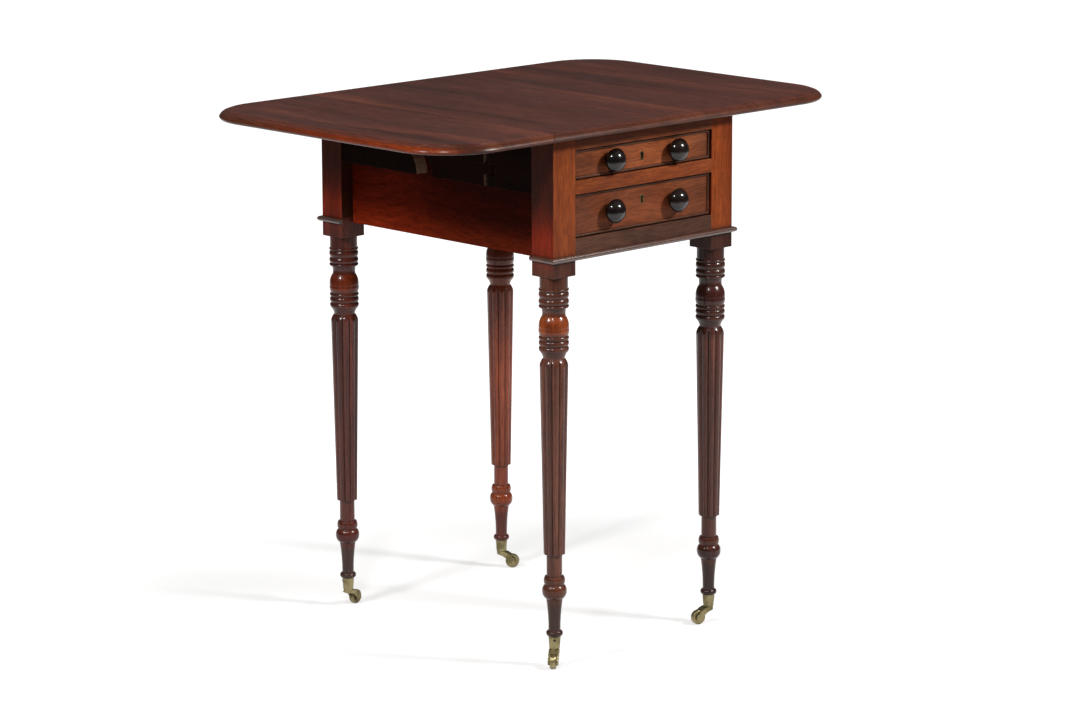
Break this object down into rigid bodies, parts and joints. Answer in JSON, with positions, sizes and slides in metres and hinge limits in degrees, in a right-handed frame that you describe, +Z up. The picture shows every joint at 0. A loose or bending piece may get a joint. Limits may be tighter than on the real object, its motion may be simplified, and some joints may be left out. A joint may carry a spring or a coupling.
{
  "type": "pembroke table",
  "caption": "Drop-leaf occasional table on turned, reeded legs with brass casters; rule-jointed leaves, swinging fly brackets and drawers below the top.",
  "frame": {"origin": "on the floor under the centre of the open table", "axes": "+X from the left leaf to the right leaf, the drawers open towards -Y, +Z up"},
  "size_m": [0.75, 0.498, 0.72],
  "materials": {
    "top_wood": "french polished dark mahogany",
    "leg_wood": "french polished mahogany",
    "side_wood": "polished dark red mahogany",
    "front_wood": "polished mahogany",
    "inner_wood": "plain planed oak and pine",
    "ebonised_wood": "ebonised and polished",
    "aged_brass": "aged brass",
    "lock_brass": "dull brass",
    "hinge_iron": "dark iron"
  },
  "bodies": {
    "frame": {"base_moulding_front": "front_wood", "base_moulding_rear": "front_wood", "caster_cups": "aged_brass", "drawer_kickers": "inner_wood", "drawer_runners": "inner_wood", "drawer_stops": "inner_wood", "fixed_top": "top_wood", "fly_block_front_left": "side_wood", "fly_block_front_right": "side_wood", "fly_block_rear_left": "side_wood", "fly_block_rear_right": "side_wood", "fly_pins": "hinge_iron", "front_bottom_rail": "front_wood", "front_middle_rail": "front_wood", "front_top_rail": "front_wood", "hinge_pins": "hinge_iron", "hinge_plates_top": "hinge_iron", "leg_front_left": "leg_wood", "leg_front_right": "leg_wood", "leg_rear_left": "leg_wood", "leg_rear_right": "leg_wood", "rear_apron": "front_wood", "sham_beading": "front_wood", "sham_knobs": "ebonised_wood", "side_apron_left": "side_wood", "side_apron_right": "side_wood"},
    "caster_horn_front_left": {"caster_horn_front_left": "aged_brass"},
    "caster_horn_front_right": {"caster_horn_front_right": "aged_brass"},
    "caster_horn_rear_left": {"caster_horn_rear_left": "aged_brass"},
    "caster_horn_rear_right": {"caster_horn_rear_right": "aged_brass"},
    "caster_wheel_front_left": {"caster_wheel_front_left": "aged_brass"},
    "caster_wheel_front_right": {"caster_wheel_front_right": "aged_brass"},
    "caster_wheel_rear_left": {"caster_wheel_rear_left": "aged_brass"},
    "caster_wheel_rear_right": {"caster_wheel_rear_right": "aged_brass"},
    "drawer_lower": {"drawer_lower_back": "inner_wood", "drawer_lower_beading": "front_wood", "drawer_lower_bottom": "inner_wood", "drawer_lower_escutcheon": "lock_brass", "drawer_lower_front": "front_wood", "drawer_lower_knobs": "ebonised_wood", "drawer_lower_lock": "lock_brass", "drawer_lower_sides": "inner_wood"},
    "drawer_lower_lock_bolt": {"drawer_lower_lock_bolt": "lock_brass"},
    "drawer_upper": {"drawer_upper_back": "inner_wood", "drawer_upper_beading": "front_wood", "drawer_upper_bottom": "inner_wood", "drawer_upper_escutcheon": "lock_brass", "drawer_upper_front": "front_wood", "drawer_upper_knobs": "ebonised_wood", "drawer_upper_lock": "lock_brass", "drawer_upper_sides": "inner_wood"},
    "drawer_upper_lock_bolt": {"drawer_upper_lock_bolt": "lock_brass"},
    "fly_bracket_left": {"fly_bracket_left": "side_wood"},
    "fly_bracket_right": {"fly_bracket_right": "side_wood"},
    "leaf_left": {"hinge_plates_leaf_left": "hinge_iron", "leaf_left": "top_wood"},
    "leaf_right": {"hinge_plates_leaf_right": "hinge_iron", "leaf_right": "top_wood"}
  },
  "joints": [
    {"name": "leaf_left_drop", "type": "hinge", "parent": "frame", "child": "leaf_left", "pos_m": [-0.18, 0, 0.7105], "axis": [0, -1, 0], "range_deg": [0, 90]},
    {"name": "leaf_right_drop", "type": "hinge", "parent": "frame", "child": "leaf_right", "pos_m": [0.18, 0, 0.7105], "axis": [0, 1, 0], "range_deg": [0, 90]},
    {"name": "fly_bracket_left_swing", "type": "hinge", "parent": "frame", "child": "fly_bracket_left", "pos_m": [-0.1575, -0.1065, 0.6705], "axis": [0, 0, -1], "range_deg": [-90, 0]},
    {"name": "fly_bracket_right_swing", "type": "hinge", "parent": "frame", "child": "fly_bracket_right", "pos_m": [0.1575, -0.1065, 0.6705], "axis": [0, 0, 1], "range_deg": [-90, 0]},
    {"name": "drawer_upper_slide", "type": "slide", "parent": "frame", "child": "drawer_upper", "axis": [0, -1, 0], "range_m": [0, 0.3]},
    {"name": "drawer_lower_slide", "type": "slide", "parent": "frame", "child": "drawer_lower", "axis": [0, -1, 0], "range_m": [0, 0.3]},
    {"name": "drawer_upper_lock_throw", "type": "slide", "parent": "drawer_upper", "child": "drawer_upper_lock_bolt", "axis": [0, 0, 1], "range_m": [0, 0.006]},
    {"name": "drawer_lower_lock_throw", "type": "slide", "parent": "drawer_lower", "child": "drawer_lower_lock_bolt", "axis": [0, 0, 1], "range_m": [0, 0.006]},
    {"name": "caster_front_left_swivel", "type": "hinge", "parent": "frame", "child": "caster_horn_front_left", "pos_m": [-0.1475, -0.2065, 0.0215], "axis": [0, 0, 1], "continuous": true},
    {"name": "caster_front_left_roll", "type": "hinge", "parent": "caster_horn_front_left", "child": "caster_wheel_front_left", "pos_m": [-0.15993, -0.21657, 0.0098], "axis": [0.6293, -0.7771, 0], "continuous": true},
    {"name": "caster_front_right_swivel", "type": "hinge", "parent": "frame", "child": "caster_horn_front_right", "pos_m": [0.1475, -0.2065, 0.0215], "axis": [0, 0, 1], "continuous": true},
    {"name": "caster_front_right_roll", "type": "hinge", "parent": "caster_horn_front_right", "child": "caster_wheel_front_right", "pos_m": [0.13228, -0.20156, 0.0098], "axis": [-0.309, -0.9511, 0], "continuous": true},
    {"name": "caster_rear_left_swivel", "type": "hinge", "parent": "frame", "child": "caster_horn_rear_left", "pos_m": [-0.1475, 0.2065, 0.0215], "axis": [0, 0, 1], "continuous": true},
    {"name": "caster_rear_left_roll", "type": "hinge", "parent": "caster_horn_rear_left", "child": "caster_wheel_rear_left", "pos_m": [-0.13185, 0.20983, 0.0098], "axis": [-0.2079, 0.9781, 0], "continuous": true},
    {"name": "caster_rear_right_swivel", "type": "hinge", "parent": "frame", "child": "caster_horn_rear_right", "pos_m": [0.1475, 0.2065, 0.0215], "axis": [0, 0, 1], "continuous": true},
    {"name": "caster_rear_right_roll", "type": "hinge", "parent": "caster_horn_rear_right", "child": "caster_wheel_rear_right", "pos_m": [0.15735, 0.19389, 0.0098], "axis": [0.788, 0.6157, 0], "continuous": true}
  ]
}
